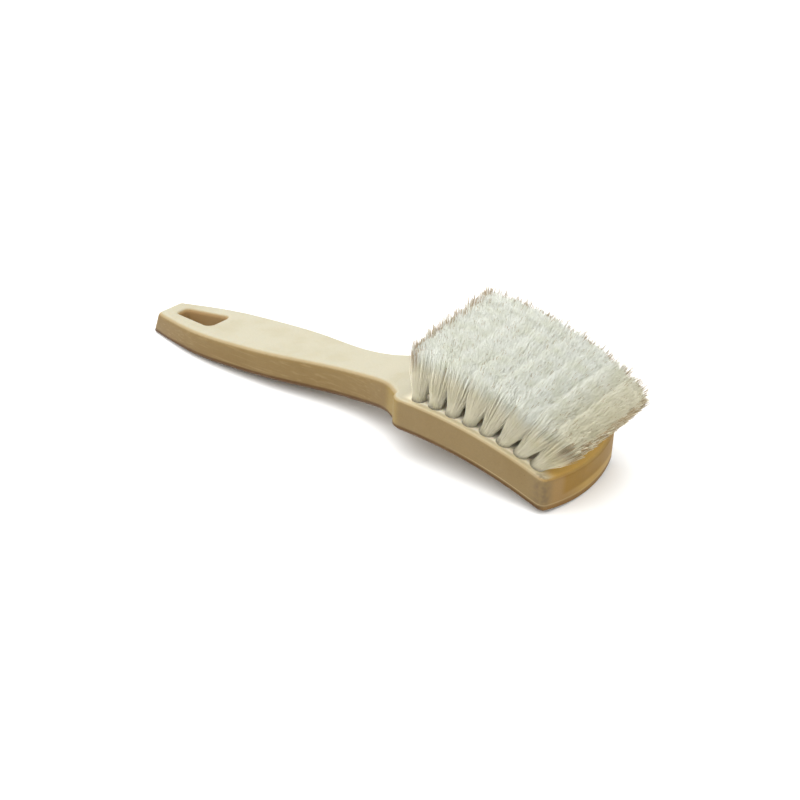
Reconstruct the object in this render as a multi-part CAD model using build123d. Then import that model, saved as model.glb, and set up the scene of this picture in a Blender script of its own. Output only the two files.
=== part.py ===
from build123d import *
import math
import os

# Hand brush with a curved head, lying on its back: the bristles point up.
# It is modelled with X from the end of the handle to the nose, Y across, Z up from the table.
# At the end everything moves so that the origin is the middle of the bottom of the bounding box.
# All sizes are in millimetres.

# ---- overall ----
LENGTH = 229.0  # end of the handle to the tip of the nose
SHOULDER_X = 153.1  # where the handle's top and bottom run on into the block's curves
TALL = 80.0  # height of every upright prism that cuts a plan, more than the brush's height
BELOW_TABLE = 20.0  # how far down those prisms start

# ---- plan of the handle ----
FLANK = [  # X and half width along the side of the paddle, then the neck and its flare
    (0.0, 6.7),
    (15.7, 11.1),
    (32.7, 14.8),
    (55.7, 16.2),
    (85.7, 15.0),
    (114.7, 11.8),
    (132.7, 13.9),
    (145.7, 19.0),
    (151.7, 23.2),  # the crease, where the flare meets the block
    (157.0, 25.8),  # from here on the handle is hidden in the block
    (166.0, 26.2),
]
FLANK_START = (1.0, 0.3)  # the flank's run at the end of the handle
FLANK_END = (1.0, 0.0)
END_SLANT = 5.2  # the end face leans: its top edge stands this far in from its bottom edge
END_CORNER_RADIUS = 3.0

# ---- side view of the moulding, X and Z ----
HANDLE_TOP = [(END_SLANT, 11.5), (28.7, 13.1), (60.7, 15.6), (95.7, 18.6), (130.7, 22.6)]
HANDLE_BOTTOM = [(0.0, -0.6), (40.7, 1.6), (90.7, 4.9), (130.7, 8.8)]
END_SLOPE = 0.07  # rise per run of the handle's top and bottom at its end
SHOULDER_TOP_Z = 26.3
SHOULDER_BOTTOM_Z = 12.45
SHOULDER_SLOPE = math.radians(1.5)  # top and bottom both pass the shoulder at this slope
BLOCK_TOP_RADIUS = 200.0
BLOCK_BOTTOM_RADIUS = 194.0
PROFILE_SWEEP_DEG = 27.5  # the two block arcs run on past the nose, where the plan cuts them

# ---- plan of the block ----
BLOCK_FRONT_X = 151.55
BLOCK_HALF_WIDTH = 27.8
FRONT_CORNER_RADIUS = 6.0
NOSE_SAGITTA = 4.7  # how far the nose bulges past the ends of the block's straight sides
NOSE_CORNER_RADIUS = 3.8

# ---- rims ----
HANDLE_ROUNDING = 2.8  # top rim of the handle
BLOCK_ROUNDING = 1.8  # top rim of the block
BOTTOM_CHAMFER = 1.4  # bottom rim, all the way round

# ---- hanging hole, a rounded trapezium ----
HOLE_X = (13.5, 36.5)
HOLE_HALF_WIDTHS = (2.9, 6.5)
HOLE_CORNER_RADII = (1.6, 2.4)
HOLE_TOP_ROUNDING = 2.0
HOLE_BOTTOM_ROUNDING = 1.0

# ---- bristle tufts ----
COLUMNS = 8  # along the block
ROWS = 6  # across the block
COLUMN_PITCH = 8.0  # along the curved top
ROW_PITCH = 8.8
FIRST_COLUMN = 9.8  # from the shoulder, along the curved top
FIRST_LEAN = 10.0  # degrees from upright, towards the nose
LAST_LEAN = 41.0
ROW_SPLAY = 8.0  # degrees from upright, outwards, of the outer rows
HOLE_RADIUS = 3.0
HOLE_DEPTH = 8.0
HOLE_RUN_ON = 4.0  # the cutter goes on above the mouth, which lies on a slope
STEM_RADIUS = 2.95
FLARE_START = 2.0  # height above the hole's mouth where the filaments begin to spread
TUFT_TIP_RADIUS = 4.75
SHORT_TRIM = 26.0  # bristle length above the block in the first row
LONG_TRIM = 29.5  # and in the last row: the brush was trimmed on a slope
CORNER_WEAR = 5.5  # the last row's tufts are worn down by this much at the nose
WEAR_POWER = 2.5  # and by less away from that corner

# ---- anchors, flat strips that hold the folded filaments down ----
ANCHOR_LENGTH = 6.8  # longer than the hole's width, so that the ends bite into its wall
ANCHOR_HEIGHT = 2.0
ANCHOR_THICKNESS = 0.45
ANCHOR_PLAY = 0.02  # clearance left all round in the models


def closed_face(curves):
    """A face inside curves that meet end to end."""
    return make_face([edge for curve in curves for edge in curve.edges()])


def both_sides(curves):
    """The curves and their mirror images on the other side of the brush."""
    return curves + [mirror(curve, Plane.XZ) for curve in curves]


def prism(face):
    """The upright solid over a plan that is drawn in X and Y."""
    return extrude(Pos(0, 0, -BELOW_TABLE) * face, TALL)


def side_profile():
    """The moulding seen from the side, extruded across: every top and bottom surface."""
    slope = (math.cos(SHOULDER_SLOPE), math.sin(SHOULDER_SLOPE))
    end_slope = (1.0, END_SLOPE)
    top_points = HANDLE_TOP + [(SHOULDER_X, SHOULDER_TOP_Z)]
    bottom_points = HANDLE_BOTTOM + [(SHOULDER_X, SHOULDER_BOTTOM_Z)]
    handle_top = Spline(top_points, tangents=[end_slope, slope])
    handle_bottom = Spline(bottom_points, tangents=[end_slope, slope])
    block_top = JernArc(top_points[-1], slope, BLOCK_TOP_RADIUS, -PROFILE_SWEEP_DEG)
    block_bottom = JernArc(bottom_points[-1], slope, BLOCK_BOTTOM_RADIUS, -PROFILE_SWEEP_DEG)
    end_face = Line(bottom_points[0], top_points[0])
    past_nose = Line(block_top @ 1, block_bottom @ 1)
    face = closed_face([handle_top, block_top, past_nose, block_bottom, handle_bottom, end_face])
    return extrude(Plane.XZ * face, TALL / 2, both=True)


def handle_plan():
    """Plan of the paddle, the neck and the flare, run on into the block."""
    flank = Spline(FLANK, tangents=[FLANK_START, FLANK_END])
    ends = [Line((x, -half_width), (x, half_width)) for x, half_width in (FLANK[0], FLANK[-1])]
    return closed_face(ends + both_sides([flank]))


def block_plan():
    """Plan of the block: a rounded front, straight sides and a bulging nose."""
    corner_x = LENGTH - NOSE_SAGITTA
    front = Line((BLOCK_FRONT_X, -BLOCK_HALF_WIDTH), (BLOCK_FRONT_X, BLOCK_HALF_WIDTH))
    side = Line((BLOCK_FRONT_X, BLOCK_HALF_WIDTH), (corner_x, BLOCK_HALF_WIDTH))
    nose = ThreePointArc((corner_x, BLOCK_HALF_WIDTH), (LENGTH, 0), (corner_x, -BLOCK_HALF_WIDTH))
    face = closed_face([front, nose] + both_sides([side]))
    by_x = face.vertices().sort_by(Axis.X)
    face = fillet(by_x[:2], FRONT_CORNER_RADIUS)
    by_x = face.vertices().sort_by(Axis.X)
    return fillet(by_x[-2:], NOSE_CORNER_RADIUS)


def rim(solid, up):
    """The edges where the walls meet the surfaces that look up (up=1) or down (up=-1)."""
    level = ShapeList([f for f in solid.faces() if f.normal_at().Z * up > 0.7])
    walls = ShapeList([f for f in solid.faces() if abs(f.normal_at().Z) < 0.5])
    return level.edges() & walls.edges()


def handle_rim(solid, up):
    """The handle's rim without the edge that is hidden in the block."""
    return [e for e in rim(solid, up) if e.center().X < FLANK[-1][0] - 1]


def handle():
    """The handle with its slanted end and its rims, up to where it is hidden in the block."""
    solid = side_profile() & prism(handle_plan())
    end_corners = [e for e in solid.edges() if e.center().X < END_SLANT and abs(e.center().Y) > 1
                   and abs(e.tangent_at(0.5).Z) > 0.5]
    solid = fillet(end_corners, END_CORNER_RADIUS)
    solid = fillet(handle_rim(solid, 1), HANDLE_ROUNDING)
    return chamfer(handle_rim(solid, -1), BOTTOM_CHAMFER)


def block():
    """The block with its rims. Handle and block share their top and bottom surfaces."""
    solid = side_profile() & prism(block_plan())
    solid = fillet(rim(solid, 1), BLOCK_ROUNDING)
    return chamfer(rim(solid, -1), BOTTOM_CHAMFER)


def hanging_hole():
    """The cutter for the hanging hole."""
    near, far = HOLE_X
    half_near, half_far = HOLE_HALF_WIDTHS
    corners = [(near, half_near), (far, half_far), (far, -half_far), (near, -half_near)]
    face = make_face(Polyline(corners, close=True))
    by_x = face.vertices().sort_by(Axis.X)
    face = fillet(by_x[:2], HOLE_CORNER_RADII[0])
    by_x = face.vertices().sort_by(Axis.X)
    face = fillet(by_x[-2:], HOLE_CORNER_RADII[1])
    return prism(face)


def hole_mouths(solid):
    """The hanging hole's edges on the bottom of the handle, then those on its top."""
    around = [e for e in solid.edges() if HOLE_X[0] - 1 < e.center().X < HOLE_X[1] + 1
              and abs(e.center().Y) < HOLE_HALF_WIDTHS[1] + 0.1 and abs(e.tangent_at(0.5).Z) < 0.5]
    middle = sum(e.center().Z for e in around) / len(around)
    bottom = [e for e in around if e.center().Z < middle]
    top = [e for e in around if e.center().Z > middle]
    return bottom, top


def moulding():
    """Handle and block in one piece, with the hanging hole but without the tuft holes."""
    solid = handle() - hanging_hole()
    solid = fillet(hole_mouths(solid)[1], HOLE_TOP_ROUNDING)
    solid = fillet(hole_mouths(solid)[0], HOLE_BOTTOM_ROUNDING)
    return solid + block()


def block_top_point(along):
    """X and Z of the block's top surface, at an arc length from the shoulder."""
    angle = SHOULDER_SLOPE - along / BLOCK_TOP_RADIUS
    x = SHOULDER_X + BLOCK_TOP_RADIUS * (math.sin(SHOULDER_SLOPE) - math.sin(angle))
    z = SHOULDER_TOP_Z + BLOCK_TOP_RADIUS * (math.cos(angle) - math.cos(SHOULDER_SLOPE))
    return x, z


def tuft_plane(column, row):
    """The plane at a tuft's hole mouth: its normal is the tuft's axis, its X the block's length."""
    x, z = block_top_point(FIRST_COLUMN + column * COLUMN_PITCH)
    y = (row - (ROWS - 1) / 2) * ROW_PITCH
    lean = math.radians(FIRST_LEAN + (LAST_LEAN - FIRST_LEAN) * column / (COLUMNS - 1))
    splay = math.radians(ROW_SPLAY * (2 * row / (ROWS - 1) - 1))
    axis = Vector(math.sin(lean), math.tan(splay), math.cos(lean)).normalized()
    across = axis.cross(Vector(1, 0, 0)).normalized()
    return Plane(origin=(x, y, z), x_dir=across.cross(axis), z_dir=axis)


def strip(play):
    """An anchor standing on edge across the bottom of its hole, enlarged by play on each side."""
    section = Rectangle(ANCHOR_THICKNESS + 2 * play, ANCHOR_LENGTH + 2 * play)
    return extrude(Pos(0, 0, ANCHOR_PLAY - play - HOLE_DEPTH) * section, ANCHOR_HEIGHT + 2 * play)


def tuft_hole():
    """The cutter for one blind hole and the two nicks that the anchor's ends make in its wall."""
    shaft = extrude(Pos(0, 0, -HOLE_DEPTH) * Circle(HOLE_RADIUS), HOLE_DEPTH + HOLE_RUN_ON)
    return shaft + strip(ANCHOR_PLAY)


def trim(column, row):
    """Length of a tuft above its hole's mouth."""
    share = row / (ROWS - 1)
    wear = CORNER_WEAR * share**2 * (column / (COLUMNS - 1)) ** WEAR_POWER
    return SHORT_TRIM + (LONG_TRIM - SHORT_TRIM) * share - wear


def tuft(length):
    """One tuft: the stem in its hole, the spreading filaments, and the notch over the anchor."""
    half_section = Polyline(
        (0, ANCHOR_PLAY - HOLE_DEPTH),
        (STEM_RADIUS, ANCHOR_PLAY - HOLE_DEPTH),
        (STEM_RADIUS, FLARE_START),
        (TUFT_TIP_RADIUS, length),
        (0, length),
        close=True,
    )
    return revolve(Plane.XZ * make_face(half_section), Axis.Z) - strip(ANCHOR_PLAY)


def handle_block():
    """The one-piece moulding: handle, shoulder, curved block and its tuft holes."""
    cutters = [tuft_plane(c, r) * tuft_hole() for c in range(COLUMNS) for r in range(ROWS)]
    return moulding() - cutters


def table_cut(solid):
    """The solid with its lowest edges trimmed flat at Z 0, where it rests on the table."""
    below = Pos(LENGTH / 2, 0, -TALL / 2) * Box(2 * LENGTH, TALL, TALL)
    return solid - below


def write_parts():
    """Build every node, move them all to the origin and write one STEP file each."""
    nodes = {"handle_block": table_cut(handle_block())}
    anchors = []
    for column in range(COLUMNS):
        for row in range(ROWS):
            plane = tuft_plane(column, row)
            nodes[f"tuft_c{column + 1}_r{row + 1}"] = plane * tuft(trim(column, row))
            anchors.append(plane * strip(0))
    nodes["tuft_anchors"] = Compound(anchors)
    box = Compound(list(nodes.values())).bounding_box()
    to_origin = Pos(-box.center().X, 0, 0)
    os.makedirs("parts", exist_ok=True)
    for name, shape in nodes.items():
        export_step(to_origin * shape, f"parts/{name}.step")
    print("origin moved by", to_origin.position.X, "along X; size along X", box.size.X)


write_parts()
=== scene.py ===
import math

import bpy
import numpy as np
from mathutils import Matrix, Vector


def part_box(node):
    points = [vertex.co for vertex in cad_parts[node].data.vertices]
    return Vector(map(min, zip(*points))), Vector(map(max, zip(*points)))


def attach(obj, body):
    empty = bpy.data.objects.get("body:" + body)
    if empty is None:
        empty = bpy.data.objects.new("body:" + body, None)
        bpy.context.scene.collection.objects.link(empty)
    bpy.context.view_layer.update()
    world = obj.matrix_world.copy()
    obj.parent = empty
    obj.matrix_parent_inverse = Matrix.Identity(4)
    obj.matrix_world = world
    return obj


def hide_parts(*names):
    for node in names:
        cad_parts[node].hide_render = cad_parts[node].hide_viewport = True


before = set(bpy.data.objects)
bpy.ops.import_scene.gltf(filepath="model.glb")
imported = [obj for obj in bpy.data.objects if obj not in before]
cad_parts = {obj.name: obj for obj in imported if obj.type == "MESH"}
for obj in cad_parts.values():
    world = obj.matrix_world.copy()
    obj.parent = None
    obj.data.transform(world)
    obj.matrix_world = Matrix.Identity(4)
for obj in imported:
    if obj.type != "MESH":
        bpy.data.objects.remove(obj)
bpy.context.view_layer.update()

MM = 0.001
COLUMNS = 8
ROWS = 6

# ---- camera ----
CAMERA_PLACE = Vector((0.31581, -0.42114, 0.28430))
CAMERA_AZIMUTH = math.radians(35.226)
CAMERA_ELEVATION = math.radians(28.157)
CAMERA_ROLL = math.radians(-2.377)
CAMERA_LENS = 63.0
SENSOR = 36.0

# ---- studio ----
FLOOR_HALF = 6.0
WORLD_STRENGTH = 1.2
KEY_STRENGTH = 2.2
KEY_SPREAD = math.radians(70)
KEY_TOWARDS = Vector((-0.12, -0.45, 1.0))

# ---- the moulding's box ----
MOULDING_LOW, MOULDING_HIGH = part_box("handle_block")
TAIL = MOULDING_LOW[0]  # the handle's end
EDGE = MOULDING_HIGH[1]  # half the block's width
UNDERSIDE_TOP = 14 * MM  # the moulding's underside is nowhere higher than this
FACES_DOWN = -0.9  # a bottom face's normal has a lower Z than this
CURVE_TOP = 30 * MM  # what the underside's curve calls 1
CURVE_POINTS = 25

# ---- places on the moulding ----
# Each pair is where a change of colour starts and where it is complete, in mm. Along the brush
# they count from the handle's end, and inward from the block's near edge.
END_FACE = (2.7, -0.3)
HOLE_NARROW_END = (10.2, 11.2)
HOLE_WIDE_END = (39.2, 38.2)
HOLE_SHADE = (13.2, 31.2)
STREAKS_END = (149.2, 129.2)
NECK = (141.2, 147.2)
BLOCK_WALL_START = (153.7, 157.7)
BLOCK_TOP_START = (155.2, 162.2)
SPECKS_THICKEN = (161.2, 216.2)
PARTING_START = (174.2, 204.2)
NOSE_MARGIN = (214.7, 217.2)
TOP_SHADOW_ALONG = (218.2, 222.7)
NOSE_RIM_START = (219.2, 225.2)
CORNER_DARK_ALONG = 222.6
NOSE_CORNER = (0.8, 7.3)
CORNER_DARK_INWARD = 1.1
TOP_SHADOW_INWARD = (2.3, 8.8)
BRISTLE_SHADOW_INWARD = (8.8, 12.8)
NOSE_MIDDLE = (9.8, 27.8)
BRISTLE_SHADOW_HEIGHT = (5.0, 6.6)
CORNER_DARK_HEIGHT = (2.0, 7.0)
HOLE_SIDE = (8.5, 7.5)  # from the middle line
BLOCK_MARGIN = (23.5, 25.5)  # from the middle line
HANDLE_SHADE = (1.5, 11.0)  # above the underside
DIRT_AND_SHADE_TOP = (2.9, 2.1)  # above the underside
PARTING_HEIGHT = 3.1  # above the underside
PARTING_WIDTH = (0.32, 0.08)

# ---- the way a point on the moulding faces: -1 down, 1 up ----
FLAT_TO_CHAMFER = (-0.97, -0.90)
UNDERSIDE_TO_WALL = (-0.9, -0.5)
CHAMFER_TO_WALL = (-0.45, -0.30)
WALL_TO_CHAMFER = (-0.30, -0.45)
WALL_TO_RIM = (0.35, 0.75)
RIM_TO_TOP = (0.72, 0.97)
TOP_TO_HOLE_WALL = (0.8, 0.4)
RIM_TO_STREAKS = (0.6, 0.2)
NOSE_FACING = (0.35, 0.95)  # how squarely a point faces along the brush

# ---- the moulding's colours ----
# Painted shade: the walls are a darker, more gold-tan copy of the ivory, as the light falls from
# above; on the handle they are a touch darker lower down.
HANDLE_WALL_LOW = (0.175, 0.114, 0.042)
HANDLE_WALL_HIGH = (0.180, 0.119, 0.044)
# Painted light: the handle's end face and the neck, which face the light, are lighter and yellower.
SUNLIT_WALL = (0.232, 0.160, 0.050)
BLOCK_WALL = (0.186, 0.129, 0.056)
# Painted glow of light let through the plastic: the nose's walls are a warmer gold-tan, most in
# their middle.
NOSE_CORNER_WALL = (0.185, 0.127, 0.053)
NOSE_NEAR_WALL = (0.252, 0.152, 0.051)
NOSE_MIDDLE_WALL = (0.36, 0.225, 0.056)
# Painted shadow of the overhanging bristles on the nose wall's upper part.
BRISTLE_SHADOW_WALL = (0.226, 0.124, 0.016)
# Painted highlight: the rims are lighter where the rounded top edge turns up towards the light.
BLOCK_RIM = (0.34, 0.265, 0.145)
NOSE_RIM = (0.37, 0.23, 0.060)
# Painted light: the tops are the lit copy of the ivory.
HANDLE_TOP = (0.425, 0.395, 0.293)
# Painted light: the top among the tufts is lightened against the shade between them.
LIT_TOP_AMONG_TUFTS = (0.93, 0.85, 0.66)
TOP_MARGIN = (0.50, 0.435, 0.285)
# Painted shadow of the bristles on the nose's top margin, gold-brown.
TOP_BRISTLE_SHADOW = (0.62, 0.39, 0.105)
MOTTLE = (0.94, 0.92, 0.87)
STREAK = (0.42, 0.32, 0.17)
HOLE_NARROW_WALL = (0.33, 0.21, 0.09)
HOLE_WIDE_WALL = (0.32, 0.21, 0.095)
# Grime and painted shade along the lower rim, where the faces turn under.
DIRT_AND_SHADE = (0.070, 0.030, 0.006)
NOSE_DIRT_AND_SHADE = (0.17, 0.090, 0.022)
PARTING = (0.40, 0.31, 0.16)
SPECK = (0.09, 0.055, 0.025)
CORNER_DARK = (0.105, 0.072, 0.042)

# ---- the moulding's surface ----
MOTTLE_SIZE = 14 * MM
MOTTLE_RANGE = (0.40, 0.75)  # of its noise, from none to full
GRAIN_SIZE = 0.55 * MM
GRAIN_SHADE = (0.20, 0.90)  # its share of the colour, and what is left without it
GRAIN_DEPTH = 0.03 * MM
WAVE_SIZE = 3.5 * MM
WAVE_DEPTH = 0.10 * MM
STREAK_SIZE = 0.8 * MM
STREAK_STRETCH = (0.03, 1, 1)
STREAK_RANGE = (0.52, 0.72)
DIRT_AND_SHADE_SIZE = 5 * MM
DIRT_AND_SHADE_NOISE = (0.35, 0.70)
SPECK_SPACING = 2.6 * MM
SPECK_RADIUS = (0.085, 0.05)  # in spacings
SPECK_CHOICE = (0.60, 0.65)  # about this share of places stays without a speck
CORNER_DARK_RADII = (5.5, 5.0)  # along the brush and across it, in mm
CORNER_DARK_FADE = (1.0, 0.1)
CORNER_DARK_SIZE = 2.2 * MM
CORNER_DARK_RANGE = (0.3, 0.7)
BRISTLE_SHADOW_STRENGTH = 0.95
STREAK_STRENGTH = 0.15
PARTING_STRENGTH = 0.45
SPECK_STRENGTH = 0.75
CORNER_DARK_STRENGTH = 0.65
MOULDING_ROUGHNESS = (0.16, 0.42)  # what the mottling adds, and the least
GRAIN_BUMP, WAVE_BUMP = 0.6, 0.5
PLASTIC_IOR = 1.49
PLASTIC_SPECULAR = 0.2
PLASTIC_BLEED = 0.15  # the share of light that goes in and comes out somewhere else
BLEED_REACH = (1.0, 0.6, 0.3)  # how far red, green and blue go in it, in bleed sizes
BLEED_SIZE = 2.0 * MM

# ---- the other materials' colours ----
STEEL_DARK = (0.42, 0.41, 0.39)
STEEL_LIGHT = (0.62, 0.61, 0.58)
# Painted shade: the filaments are greyer at their feet among the tufts and warm beige lower down,
# the colour of their shaded sides, and cool white at the lit tips.
NYLON_FOOT_SHADE = (0.58, 0.54, 0.42)
NYLON_LOW = (0.975, 0.95, 0.84)
NYLON_TIP = (0.955, 0.965, 0.92)
TAN_TIP = (0.50, 0.36, 0.19)
NYLON_PATCH = (0.95, 0.95, 0.91)
# Painted bounce light and shade from the nose: the filling's nose end tinted beige.
NYLON_NOSE_BOUNCE = (0.93, 0.89, 0.78)
FLOOR_DARK = (0.90, 0.90, 0.89)
FLOOR_LIGHT = (0.93, 0.93, 0.92)

# ---- the other materials' surfaces ----
STEEL_STREAK = 0.3 * MM
STEEL_STRETCH = (1, 1, 0.1)
STEEL_RANGE = (0.3, 0.7)
STEEL_ROUGHNESS = (0.3, 0.25)  # what the streaks add, and the least
STEEL_DEPTH = 0.01 * MM
STEEL_BUMP = 0.5
FOOT_HEIGHT = (0.0, 0.12)  # shares of a filament's free length
TIP_HEIGHT = (0.60, 1.0)
TAN_HEIGHT = (0.5, 1.0)
TAN_STRENGTH = 0.75
NYLON_PATCH_SIZE = 6 * MM
NYLON_PATCH_RANGE = (0.4, 0.75)
NOSE_FILLING = (215.2, 241.2)  # where the filling gets beige, in mm from the handle's end
NYLON_ROUGHNESS = (0.25, 0.25)  # what a filament's tint adds, and the least
NYLON_IOR = 1.53
NYLON_THROUGH = 0.62  # the share of light that is let through and not reflected
FLOOR_PATCH_SIZE = 0.25
FLOOR_ROUGHNESS = 0.9

# ---- filaments ----
SEED = 20
FILAMENTS = 760  # in each tuft
FILAMENT_RADIUS = 0.085 * MM
SIDES = 3
GOLDEN_ANGLE = math.pi * (3 - math.sqrt(5))
HOLE_DEPTH = 7.98 * MM  # a tuft's solid starts this far below its hole's mouth
END_SLICE = 0.1 * MM  # what is this near to the end of a tuft's solid belongs to its end face
FOOT_DEPTH = 7.7 * MM  # the filaments' lower ends, below the hole's mouth
ANCHORED_DEPTH = 5.7 * MM  # and of those that are folded over the anchor
ANCHOR_REACH = 0.45 * MM  # those stand this near to the anchor's middle
STEM_FILL = 2.86 * MM  # radius of the circle that the filaments' middles fill in the hole
RINGS = ((0.10, 0.02), (0.26, 0.22), (0.55, 0.64), (1.0, 1.0))  # shares of height and spread
SQUARENESS = 0.6  # how far a tuft's round bundle spreads into the corners of its room
CROWDING = 1.2  # a tuft reaches this many times as far as half way to its neighbour
BACK_REACH = (5.0 * MM, 8.5 * MM)  # spread towards the handle, in the first and the last row
FRONT_REACH = 6.8 * MM  # spread past the nose
SIDE_REACH = 4.8 * MM
FRONT_WEAR = 4.0 * MM  # the foremost filaments are worn down by this much
OPEN = 0.55  # a filament this far out in its tuft stands in the open at the filling's edge
TIP_SCATTER = 0.7 * MM
COMBED_SCATTER = 0.35 * MM  # in the open, in the near row and the nose column
BOW = 0.22 * MM
TRIM_ERROR = 0.12 * MM
RAGGED = 1.1 * MM  # the spread of lengths in the open
STRAY_SHARE, OPEN_STRAY_SHARE = 0.006, 0.17
STRAY_EXTRA = (0.5 * MM, 3.2 * MM)
SHORT_SHARE = 0.01
SHORT_LOSS = (0.5 * MM, 3.0 * MM)
TAN_SHARE, OPEN_TAN_SHARE = 0.02, 0.65
# a plain filament's tint is under the first, and a tan one's over the last
PLAIN_TINT, TINT_SPLIT, TAN_TINT = 0.85, 0.88, 0.95


# ================= node helpers =================

class Graph:
    """Builds one material's nodes. A value is a number, a colour or another node's output."""

    def __init__(self, name):
        self.material = bpy.data.materials.new(name)
        self.material.use_nodes = True
        self.nodes = self.material.node_tree.nodes
        self.links = self.material.node_tree.links
        self.shader = self.nodes["Principled BSDF"]
        self.coords = self.nodes.new("ShaderNodeTexCoord")

    def put(self, socket, value):
        if isinstance(value, bpy.types.NodeSocket):
            self.links.new(value, socket)
        elif value is not None:
            if socket.type == "RGBA" and len(value) == 3:
                value = (*value, 1.0)
            socket.default_value = value

    def set(self, name, value):
        self.put(self.shader.inputs[name], value)

    def math(self, operation, a, b=None, c=None):
        node = self.nodes.new("ShaderNodeMath")
        node.operation = operation
        for socket, value in zip(node.inputs, (a, b, c)):
            self.put(socket, value)
        return node.outputs[0]

    def product(self, first, *others):
        for other in others:
            first = self.math("MULTIPLY", first, other)
        return first

    def smooth(self, value, low, high):
        """0 below low and 1 above high, smooth between. low may be the larger one."""
        node = self.nodes.new("ShaderNodeMapRange")
        node.interpolation_type = "SMOOTHSTEP"
        if low > high:
            low, high = high, low
            node.inputs["To Min"].default_value = 1.0
            node.inputs["To Max"].default_value = 0.0
        self.put(node.inputs["Value"], value)
        node.inputs["From Min"].default_value = low
        node.inputs["From Max"].default_value = high
        return node.outputs["Result"]

    def mix(self, factor, a, b, blend="MIX"):
        node = self.nodes.new("ShaderNodeMix")
        node.data_type = "RGBA"
        node.blend_type = blend
        self.put(node.inputs[0], factor)
        self.put(node.inputs[6], a)
        self.put(node.inputs[7], b)
        return node.outputs[2]

    def grey(self, value):
        node = self.nodes.new("ShaderNodeCombineColor")
        for socket in node.inputs[:3]:
            self.links.new(value, socket)
        return node.outputs[0]

    def place(self, scale):
        node = self.nodes.new("ShaderNodeMapping")
        node.inputs["Scale"].default_value = scale
        self.links.new(self.coords.outputs["Object"], node.inputs["Vector"])
        return node.outputs[0]

    def noise(self, size, detail=2.0, stretch=(1, 1, 1)):
        """Noise whose features are about size metres across."""
        node = self.nodes.new("ShaderNodeTexNoise")
        node.inputs["Scale"].default_value = 1.0
        node.inputs["Detail"].default_value = detail
        self.links.new(self.place(tuple(s / size for s in stretch)), node.inputs["Vector"])
        return node.outputs["Fac"]

    def cells(self, size):
        """Distance to the nearest scattered point, in cells, and that cell's random colour."""
        node = self.nodes.new("ShaderNodeTexVoronoi")
        node.inputs["Scale"].default_value = 1.0
        self.links.new(self.place((1 / size,) * 3), node.inputs["Vector"])
        return node.outputs["Distance"], node.outputs["Color"]

    def split(self, vector):
        node = self.nodes.new("ShaderNodeSeparateXYZ")
        self.links.new(vector, node.inputs[0])
        return node.outputs

    def from_tail(self, x):
        """Distance along the brush from the handle's end, in mm."""
        return self.math("MULTIPLY_ADD", x, 1 / MM, -TAIL / MM)

    def bump(self, height, distance, strength, normal=None):
        node = self.nodes.new("ShaderNodeBump")
        node.inputs["Strength"].default_value = strength
        node.inputs["Distance"].default_value = distance
        self.links.new(height, node.inputs["Height"])
        if normal is not None:
            self.links.new(normal, node.inputs["Normal"])
        return node.outputs[0]

    def curve(self, value, points):
        """A smooth curve through points, all inside 0 to 1."""
        node = self.nodes.new("ShaderNodeFloatCurve")
        line = node.mapping.curves[0]
        while len(line.points) < len(points):
            line.points.new(0.5, 0.5)
        for point, (x, y) in zip(line.points, points):
            point.location = (x, y)
        node.mapping.update()
        self.put(node.inputs["Value"], value)
        return node.outputs[0]


# ================= moulding =================

def underside_points():
    """The moulding's bottom along its length, as points inside 0 to 1, and its two ends."""
    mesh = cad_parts["handle_block"].data
    low_verts = {v for p in mesh.polygons if p.normal.z < FACES_DOWN for v in p.vertices}
    found = np.array([mesh.vertices[v].co for v in low_verts])
    found = found[found[:, 2] < UNDERSIDE_TOP]  # without the ledges inside the tuft holes
    found = found[np.argsort(found[:, 0])]
    low, high = float(found[0, 0]), float(found[-1, 0])
    places = np.linspace(low, high, CURVE_POINTS)
    heights = np.interp(places, found[:, 0], found[:, 2])
    points = [((x - low) / (high - low), z / CURVE_TOP) for x, z in zip(places, heights)]
    return points, low, high


class Moulding(Graph):
    """The moulding's graph, with where on the brush a point is, in mm, and how it faces."""

    def __init__(self):
        super().__init__("ivory_plastic")
        x, y, z = self.split(self.coords.outputs["Object"])
        facing = self.split(self.coords.outputs["Normal"])
        self.along = self.from_tail(x)
        self.inward = self.math("MULTIPLY_ADD", y, 1 / MM, EDGE / MM)
        self.off_middle = self.math("DIVIDE", self.math("ABSOLUTE", y), MM)
        self.height = self.math("DIVIDE", z, MM)
        self.above = self.math("DIVIDE", self.math("SUBTRACT", z, self.underside(x)), MM)
        self.up = facing[2]
        self.on_nose = self.smooth(facing[0], *NOSE_FACING)
        self.on_wall = self.smooth(self.up, *CHAMFER_TO_WALL)
        self.not_under = self.smooth(self.up, *UNDERSIDE_TO_WALL)

    def underside(self, x):
        """How high the moulding's bottom is at this place along the brush, in metres."""
        points, low, high = underside_points()
        share = self.math("DIVIDE", self.math("SUBTRACT", x, low), high - low)
        return self.math("MULTIPLY", self.curve(share, points), CURVE_TOP)


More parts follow.
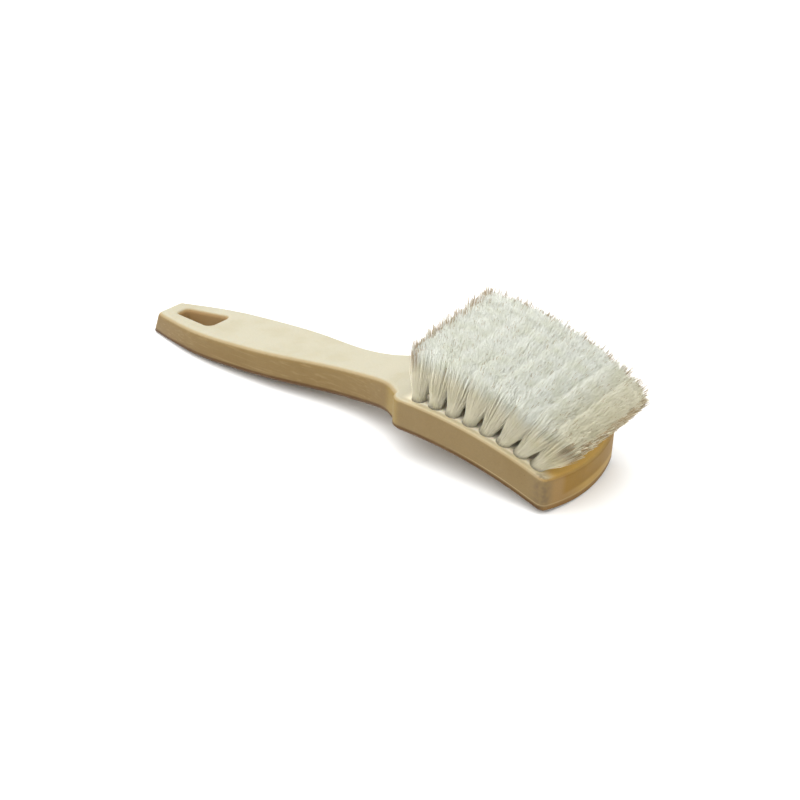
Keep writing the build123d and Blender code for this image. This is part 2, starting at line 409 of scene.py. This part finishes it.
def wall_colour(m):
    """Painted shade: gold-tan walls, with painted light making the handle's end and the neck
    lighter and yellower, a painted glow on the nose, and the bristles' painted shadow on the nose's
    upper part.
    """
    handle = m.mix(m.smooth(m.above, *HANDLE_SHADE), HANDLE_WALL_LOW, HANDLE_WALL_HIGH)
    # Painted light on the handle's end face and the neck.
    sunlit = m.math("MAXIMUM", m.smooth(m.along, *END_FACE), m.smooth(m.along, *NECK))
    handle = m.mix(m.product(sunlit, m.not_under), handle, SUNLIT_WALL)
    wall = m.mix(m.smooth(m.along, *BLOCK_WALL_START), handle, BLOCK_WALL)
    # Painted glow of light through the plastic on the nose, warmest in its middle.
    nose = m.mix(m.smooth(m.inward, *NOSE_CORNER), NOSE_CORNER_WALL, NOSE_NEAR_WALL)
    nose = m.mix(m.smooth(m.inward, *NOSE_MIDDLE), nose, NOSE_MIDDLE_WALL)
    wall = m.mix(m.on_nose, wall, nose)
    # Painted shadow of the bristles over the nose wall's upper part.
    wall_shadow = m.product(m.smooth(m.inward, *BRISTLE_SHADOW_INWARD), m.smooth(m.height, *BRISTLE_SHADOW_HEIGHT))
    return m.mix(m.product(wall_shadow, m.on_nose, BRISTLE_SHADOW_STRENGTH), wall, BRISTLE_SHADOW_WALL)


def top_colour(m):
    """Lit ivory, with painted light among the tufts and the bristles' painted shadow, gold-brown,
    on the margin round the nose.
    """
    margin = m.smooth(m.off_middle, *BLOCK_MARGIN)
    margin = m.math("MAXIMUM", margin, m.smooth(m.along, *NOSE_MARGIN))
    # Painted light on the top among the tufts.
    block = m.mix(margin, LIT_TOP_AMONG_TUFTS, TOP_MARGIN)
    top = m.mix(m.smooth(m.along, *BLOCK_TOP_START), HANDLE_TOP, block)
    # Painted shadow of the bristles on the margin round the nose.
    top_shadow = m.product(m.smooth(m.along, *TOP_SHADOW_ALONG), m.smooth(m.inward, *TOP_SHADOW_INWARD))
    return m.mix(top_shadow, top, TOP_BRISTLE_SHADOW)


def clean_colour(m):
    """The plastic's colour by the way it faces, with light and shade painted in: a shaded wall, a
    rounded rim with a painted highlight, or a lit top.
    """
    rim = m.mix(m.smooth(m.along, *NOSE_RIM_START), BLOCK_RIM, NOSE_RIM)
    colour = m.mix(m.smooth(m.up, *WALL_TO_RIM), wall_colour(m), rim)
    return m.mix(m.smooth(m.up, *RIM_TO_TOP), colour, top_colour(m))


def mottled(m, colour, broad, grain):
    """Broad mottling and a fine grain."""
    colour = m.mix(m.smooth(broad, *MOTTLE_RANGE), colour, MOTTLE, "MULTIPLY")
    shade = m.math("MULTIPLY_ADD", grain, *GRAIN_SHADE)
    return m.mix(1.0, colour, m.grey(shade), "MULTIPLY")


def streaked(m, colour):
    """Flow streaks along the handle's sides."""
    streak = m.smooth(m.noise(STREAK_SIZE, stretch=STREAK_STRETCH), *STREAK_RANGE)
    on_handle = m.product(m.smooth(m.up, *RIM_TO_STREAKS), m.smooth(m.along, *STREAKS_END))
    return m.mix(m.product(streak, on_handle, STREAK_STRENGTH), colour, STREAK)


def hole_walled(m, colour):
    """The hanging hole's walls."""
    inside = m.product(
        m.smooth(m.off_middle, *HOLE_SIDE),
        m.smooth(m.along, *HOLE_NARROW_END),
        m.smooth(m.along, *HOLE_WIDE_END),
        m.smooth(m.up, *TOP_TO_HOLE_WALL),
        m.not_under,
    )
    wall = m.mix(m.smooth(m.along, *HOLE_SHADE), HOLE_NARROW_WALL, HOLE_WIDE_WALL)
    return m.mix(inside, colour, wall)


def dirty_shaded_rim(m, colour):
    """The lower rim: a thin pale parting line over an edge darkened by grime and painted shade."""
    chamfer = m.product(m.smooth(m.up, *WALL_TO_CHAMFER), m.smooth(m.up, *FLAT_TO_CHAMFER))
    low_wall = m.product(m.smooth(m.above, *DIRT_AND_SHADE_TOP), m.on_wall)
    dirt_and_shade = m.math("MULTIPLY_ADD", m.noise(DIRT_AND_SHADE_SIZE), *DIRT_AND_SHADE_NOISE)
    dirt_and_shade = m.product(m.math("MAXIMUM", chamfer, low_wall), dirt_and_shade)
    colour = m.mix(dirt_and_shade, colour, m.mix(m.on_nose, DIRT_AND_SHADE, NOSE_DIRT_AND_SHADE))
    off_line = m.math("ABSOLUTE", m.math("SUBTRACT", m.above, PARTING_HEIGHT))
    line = m.product(m.smooth(off_line, *PARTING_WIDTH), m.smooth(m.along, *PARTING_START))
    return m.mix(m.product(line, m.on_wall, PARTING_STRENGTH), colour, PARTING)


def specked(m, colour):
    """Small dark specks, thicker towards the nose."""
    distance, random = m.cells(SPECK_SPACING)
    chosen = m.smooth(m.split(random)[0], *SPECK_CHOICE)
    specks = m.product(m.smooth(distance, *SPECK_RADIUS), chosen)
    specks = m.product(specks, m.smooth(m.along, *SPECKS_THICKEN), SPECK_STRENGTH)
    return m.mix(specks, colour, SPECK)


def corner_darkened(m, colour):
    """A soft, cloudy dark patch at the nose's near corner."""
    dx = m.math("DIVIDE", m.math("SUBTRACT", m.along, CORNER_DARK_ALONG), CORNER_DARK_RADII[0])
    dy = m.math("DIVIDE", m.math("SUBTRACT", m.inward, CORNER_DARK_INWARD), CORNER_DARK_RADII[1])
    off = m.math("SQRT", m.math("ADD", m.product(dx, dx), m.product(dy, dy)))
    cloud = m.smooth(m.noise(CORNER_DARK_SIZE), *CORNER_DARK_RANGE)
    corner_dark = m.product(m.smooth(off, *CORNER_DARK_FADE), cloud)
    corner_dark = m.product(corner_dark, m.smooth(m.height, *CORNER_DARK_HEIGHT), CORNER_DARK_STRENGTH)
    return m.mix(corner_dark, colour, CORNER_DARK)


def moulding_material():
    m = Moulding()
    broad = m.noise(MOTTLE_SIZE, detail=3)
    grain = m.noise(GRAIN_SIZE)
    colour = mottled(m, clean_colour(m), broad, grain)
    for change in (streaked, hole_walled, dirty_shaded_rim, specked, corner_darkened):
        colour = change(m, colour)
    m.set("Base Color", colour)
    m.set("Roughness", m.math("MULTIPLY_ADD", broad, *MOULDING_ROUGHNESS))
    m.set("IOR", PLASTIC_IOR)
    m.set("Specular IOR Level", PLASTIC_SPECULAR)
    m.set("Subsurface Weight", PLASTIC_BLEED)
    m.set("Subsurface Radius", BLEED_REACH)
    m.set("Subsurface Scale", BLEED_SIZE)
    fine = m.bump(grain, GRAIN_DEPTH, GRAIN_BUMP)
    m.set("Normal", m.bump(m.noise(WAVE_SIZE, detail=3), WAVE_DEPTH, WAVE_BUMP, fine))
    return m.material


def anchor_material():
    g = Graph("drawn_steel_strip")
    streak = g.noise(STEEL_STREAK, detail=3, stretch=STEEL_STRETCH)
    g.set("Base Color", g.mix(g.smooth(streak, *STEEL_RANGE), STEEL_DARK, STEEL_LIGHT))
    g.set("Roughness", g.math("MULTIPLY_ADD", streak, *STEEL_ROUGHNESS))
    g.set("Metallic", 1.0)
    g.set("Normal", g.bump(streak, STEEL_DEPTH, STEEL_BUMP))
    return g.material


def give(node, material):
    """A CAD node's every slot gets the material."""
    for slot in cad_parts[node].material_slots:
        slot.link = "OBJECT"
        slot.material = material


# ================= bristles =================

def bristle_material():
    """Milky nylon that lets light through, a few filaments with tan tips."""
    g = Graph("nylon_filament")
    strand = g.nodes.new("ShaderNodeUVMap")
    strand.uv_map = "Strand"
    tint, height, _ = g.split(strand.outputs[0])
    # Painted shade along each filament: greyer feet, warm beige lower down, cool white lit tips.
    colour = g.mix(g.smooth(height, *FOOT_HEIGHT), NYLON_FOOT_SHADE, NYLON_LOW)
    colour = g.mix(g.smooth(height, *TIP_HEIGHT), colour, NYLON_TIP)
    is_tan = g.smooth(tint, TINT_SPLIT, TAN_TINT)
    colour = g.mix(g.product(is_tan, g.smooth(height, *TAN_HEIGHT), TAN_STRENGTH), colour, TAN_TIP)
    patch = g.smooth(g.noise(NYLON_PATCH_SIZE), *NYLON_PATCH_RANGE)
    colour = g.mix(patch, colour, NYLON_PATCH, "MULTIPLY")
    # Painted bounce light and shade from the nose on the filling's nose end.
    along = g.from_tail(g.split(g.coords.outputs["Object"])[0])
    colour = g.mix(g.smooth(along, *NOSE_FILLING), colour, NYLON_NOSE_BOUNCE, "MULTIPLY")
    g.set("Base Color", colour)
    g.set("Roughness", g.math("MULTIPLY_ADD", tint, *NYLON_ROUGHNESS))
    g.set("IOR", NYLON_IOR)
    through = g.nodes.new("ShaderNodeBsdfTranslucent")
    g.put(through.inputs["Color"], colour)
    blend = g.nodes.new("ShaderNodeMixShader")
    blend.inputs["Fac"].default_value = NYLON_THROUGH
    g.links.new(g.shader.outputs[0], blend.inputs[1])
    g.links.new(through.outputs[0], blend.inputs[2])
    g.links.new(blend.outputs[0], g.nodes["Material Output"].inputs["Surface"])
    return g.material


def solid_ends(node):
    """The middles of a tuft's two ends, from its CAD solid."""
    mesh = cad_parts[node].data
    co = np.empty(len(mesh.vertices) * 3)
    mesh.vertices.foreach_get("co", co)
    co = co.reshape(-1, 3)
    axis = np.linalg.svd(co - co.mean(0), full_matrices=False)[2][0]
    axis *= np.sign(axis[2])
    for _ in range(3):
        t = co @ axis
        tip = co[t > t.max() - END_SLICE]
        foot = co[t < t.min() + END_SLICE]
        tip_middle = (tip.min(0) + tip.max(0)) / 2
        foot_middle = (foot.min(0) + foot.max(0)) / 2
        axis = tip_middle - foot_middle
        axis /= np.linalg.norm(axis)
    return foot_middle, tip_middle


class Tuft:
    """Where one tuft stands: its tip, the middle of its hole's mouth, and its own directions."""

    def __init__(self, column, row):
        self.column, self.row = column, row
        self.node = f"tuft_c{column + 1}_r{row + 1}"
        foot, self.tip = solid_ends(self.node)
        self.axis = (self.tip - foot) / np.linalg.norm(self.tip - foot)
        self.mouth = foot + self.axis * HOLE_DEPTH
        self.length = np.linalg.norm(self.tip - self.mouth)
        along = np.array((1.0, 0.0, 0.0))
        along -= self.axis * (along @ self.axis)
        self.along = along / np.linalg.norm(along)
        self.across = np.cross(self.axis, self.along)

    def points(self, place, height):
        """Points at places along and across the tuft, at heights above its hole's mouth."""
        aside = np.outer(place[0], self.along) + np.outer(place[1], self.across)
        return self.mouth + aside + np.outer(height, self.axis)


def reach(tufts, tuft, d_column, d_row):
    """How far a tuft's tip spreads towards a neighbour, or into the open at the edge."""
    other = tufts.get((tuft.column + d_column, tuft.row + d_row))
    if other is not None:
        return float(np.linalg.norm(other.tip - tuft.tip)) / 2 * CROWDING
    if d_column < 0:
        return float(np.interp(tuft.row / (ROWS - 1), (0, 1), BACK_REACH))
    return FRONT_REACH if d_column > 0 else SIDE_REACH


def reaches(tufts, tuft, place):
    """How far each filament's side of the tuft spreads, along the brush and across it."""
    along = np.where(place[0] > 0, reach(tufts, tuft, 1, 0), reach(tufts, tuft, -1, 0))
    across = np.where(place[1] > 0, reach(tufts, tuft, 0, 1), reach(tufts, tuft, 0, -1))
    return np.array((along, across))


def leans_out(tuft, place):
    """Which filaments lean out of the whole filling, along the brush and across it."""
    a, b = place
    along = ((a < 0) & (tuft.column == 0)) | ((a > 0) & (tuft.column == COLUMNS - 1))
    across = ((b < 0) & (tuft.row == 0)) | ((b > 0) & (tuft.row == ROWS - 1))
    return np.array((along, across))


def unit_places(rng):
    """Even places in a unit circle, and the same ones spread towards a square."""
    k = np.arange(FILAMENTS)
    turn = k * GOLDEN_ANGLE + rng.uniform(0, 2 * math.pi)
    place = np.sqrt((k + 0.5) / FILAMENTS) * np.array((np.cos(turn), np.sin(turn)))
    square = 1 / np.maximum(np.abs(np.cos(turn)), np.abs(np.sin(turn)))
    return place, place * (1 + SQUARENESS * (square - 1))


def free_lengths(tuft, place, in_open, rng):
    """Every filament's length above the block: trimmed, but ragged round the outside."""
    length = tuft.length + rng.normal(0, TRIM_ERROR, FILAMENTS)
    length += np.where(in_open, rng.normal(0, RAGGED, FILAMENTS), 0)
    stray = rng.random(FILAMENTS) < np.where(in_open, OPEN_STRAY_SHARE, STRAY_SHARE)
    length += np.where(stray, rng.uniform(*STRAY_EXTRA, FILAMENTS), 0)
    short = rng.random(FILAMENTS) < SHORT_SHARE
    length -= np.where(short, rng.uniform(*SHORT_LOSS, FILAMENTS), 0)
    if tuft.column == COLUMNS - 1:
        length -= FRONT_WEAR * np.maximum(place[0], 0) ** 2
    return length


def filament_lines(tufts, tuft, rng):
    """Points along every filament of a tuft (filaments by rings by 3), and which have tan tips."""
    place, wide = unit_places(rng)
    out = leans_out(tuft, place)
    in_open = (np.abs(place) * out).max(0) > OPEN
    combed = in_open & ((tuft.row == 0) | (tuft.column == COLUMNS - 1))
    scatter = np.where(combed, COMBED_SCATTER, TIP_SCATTER)
    base = place * STEM_FILL
    tip = wide * reaches(tufts, tuft, place) + rng.normal(0, 1, place.shape) * scatter
    length = free_lengths(tuft, place, in_open, rng)
    length -= (out * (tip - base) ** 2).sum(0) / (2 * tuft.length)
    bow = rng.normal(0, BOW, place.shape)

    anchored = np.abs(base[0]) < ANCHOR_REACH
    rings = [tuft.points(base, np.where(anchored, -ANCHORED_DEPTH, -FOOT_DEPTH))]
    for share, spread in RINGS:
        bend = math.sin(math.pi * share) * spread
        rings.append(tuft.points(base + (tip - base) * spread + bow * bend, length * share))
    # no tan along the near side, apart from its two ends
    may_tan = in_open & (out[0] | (place[1] > 0))
    tanned = rng.random(FILAMENTS) < np.where(may_tan, OPEN_TAN_SHARE, TAN_SHARE)
    return np.stack(rings, axis=1), tanned


def rod_verts(lines, tuft, rng):
    """The corners of a three-sided rod round every line: filaments by rings by sides by 3."""
    turn = rng.uniform(0, math.pi / 2, len(lines))
    verts = np.empty((*lines.shape[:2], SIDES, 3))
    for side in range(SIDES):
        angle = turn + side * 2 * math.pi / SIDES
        offset = np.outer(np.cos(angle), tuft.along) + np.outer(np.sin(angle), tuft.across)
        verts[:, :, side, :] = lines + offset[:, None, :] * FILAMENT_RADIUS
    return verts


def rod_faces(count, rings):
    """Every face's corners in one row, where each face starts, and how many are walls."""
    index = np.arange(count * rings * SIDES).reshape(count, rings, SIDES)
    nxt = np.roll(index, -1, axis=2)
    walls = np.stack([index[:, :-1], nxt[:, :-1], nxt[:, 1:], index[:, 1:]], axis=-1).reshape(-1, 4)
    ends = np.concatenate([index[:, -1, :], index[:, 0, ::-1]])
    corners = np.concatenate([walls.ravel(), ends.ravel()]).astype(np.int32)
    end_starts = len(walls) * 4 + np.arange(len(ends)) * SIDES
    starts = np.concatenate([np.arange(len(walls)) * 4, end_starts]).astype(np.int32)
    return corners, starts, len(walls)


def filament_mesh(name, lines, tanned, tuft, rng):
    """Rods with closed ends, and a UV map of each strand's tint and its share of height."""
    verts = rod_verts(lines, tuft, rng)
    count, rings = lines.shape[:2]
    corners, starts, walls = rod_faces(count, rings)
    mesh = bpy.data.meshes.new(name)
    mesh.vertices.add(count * rings * SIDES)
    mesh.vertices.foreach_set("co", verts.ravel())
    mesh.loops.add(len(corners))
    mesh.loops.foreach_set("vertex_index", corners)
    mesh.polygons.add(len(starts))
    mesh.polygons.foreach_set("loop_start", starts)
    mesh.polygons.foreach_set("use_smooth", np.arange(len(starts)) < walls)
    tints = rng.random(count)
    tints = np.where(tanned, TAN_TINT + (1 - TAN_TINT) * tints, PLAIN_TINT * tints)
    uv = np.empty((count, rings, SIDES, 2))
    uv[..., 0] = tints[:, None, None]
    uv[..., 1] = np.array([0.0] + [share for share, _ in RINGS])[None, :, None]
    layer = mesh.uv_layers.new(name="Strand")
    layer.data.foreach_set("uv", uv.reshape(-1, 2)[corners].ravel())
    mesh.update(calc_edges=True)
    mesh.validate()
    return mesh


def make_bristles():
    rng = np.random.default_rng(SEED)
    tufts = {(c, r): Tuft(c, r) for c in range(COLUMNS) for r in range(ROWS)}
    material = bristle_material()
    for (column, row), tuft in tufts.items():
        name = f"bristles_c{column + 1}_r{row + 1}"
        lines, tanned = filament_lines(tufts, tuft, rng)
        mesh = filament_mesh(name, lines, tanned, tuft, rng)
        mesh.materials.append(material)
        piece = bpy.data.objects.new(name, mesh)
        bpy.context.scene.collection.objects.link(piece)
        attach(piece, "root")
        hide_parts(tuft.node)


# ================= studio =================

def make_floor():
    size = FLOOR_HALF
    mesh = bpy.data.meshes.new("floor")
    corners = [(-size, -size, 0), (size, -size, 0), (size, size, 0), (-size, size, 0)]
    mesh.from_pydata(corners, [], [(0, 1, 2, 3)])
    floor = bpy.data.objects.new("floor", mesh)
    bpy.context.scene.collection.objects.link(floor)
    g = Graph("pale_floor")
    g.set("Base Color", g.mix(g.noise(FLOOR_PATCH_SIZE), FLOOR_DARK, FLOOR_LIGHT))
    g.set("Roughness", FLOOR_ROUGHNESS)
    mesh.materials.append(g.material)


def make_lights():
    world = bpy.data.worlds.new("studio")
    world.use_nodes = True
    shader = world.node_tree.nodes["Background"]
    shader.inputs["Color"].default_value = (1.0, 1.0, 1.0, 1.0)
    shader.inputs["Strength"].default_value = WORLD_STRENGTH
    bpy.context.scene.world = world
    light = bpy.data.lights.new("key", "SUN")
    light.energy = KEY_STRENGTH
    light.angle = KEY_SPREAD
    key = bpy.data.objects.new("key", light)
    bpy.context.scene.collection.objects.link(key)
    key.rotation_euler = KEY_TOWARDS.to_track_quat("Z", "Y").to_euler()


def make_camera():
    az, el, roll = CAMERA_AZIMUTH, CAMERA_ELEVATION, CAMERA_ROLL
    back = Vector((math.sin(az) * math.cos(el), -math.cos(az) * math.cos(el), math.sin(el)))
    right = Vector((math.cos(az), math.sin(az), 0.0))
    up = back.cross(right)
    x_axis = right * math.cos(roll) - up * math.sin(roll)
    y_axis = right * math.sin(roll) + up * math.cos(roll)
    place = Matrix((x_axis, y_axis, back)).transposed().to_4x4()
    place.translation = CAMERA_PLACE
    data = bpy.data.cameras.new("camera")
    data.sensor_width = SENSOR
    data.lens = CAMERA_LENS
    camera = bpy.data.objects.new("camera", data)
    camera.matrix_world = place
    bpy.context.scene.collection.objects.link(camera)
    bpy.context.scene.camera = camera


make_camera()
make_floor()
make_lights()
bpy.context.scene.view_settings.view_transform = "Standard"
give("handle_block", moulding_material())
give("tuft_anchors", anchor_material())
make_bristles()
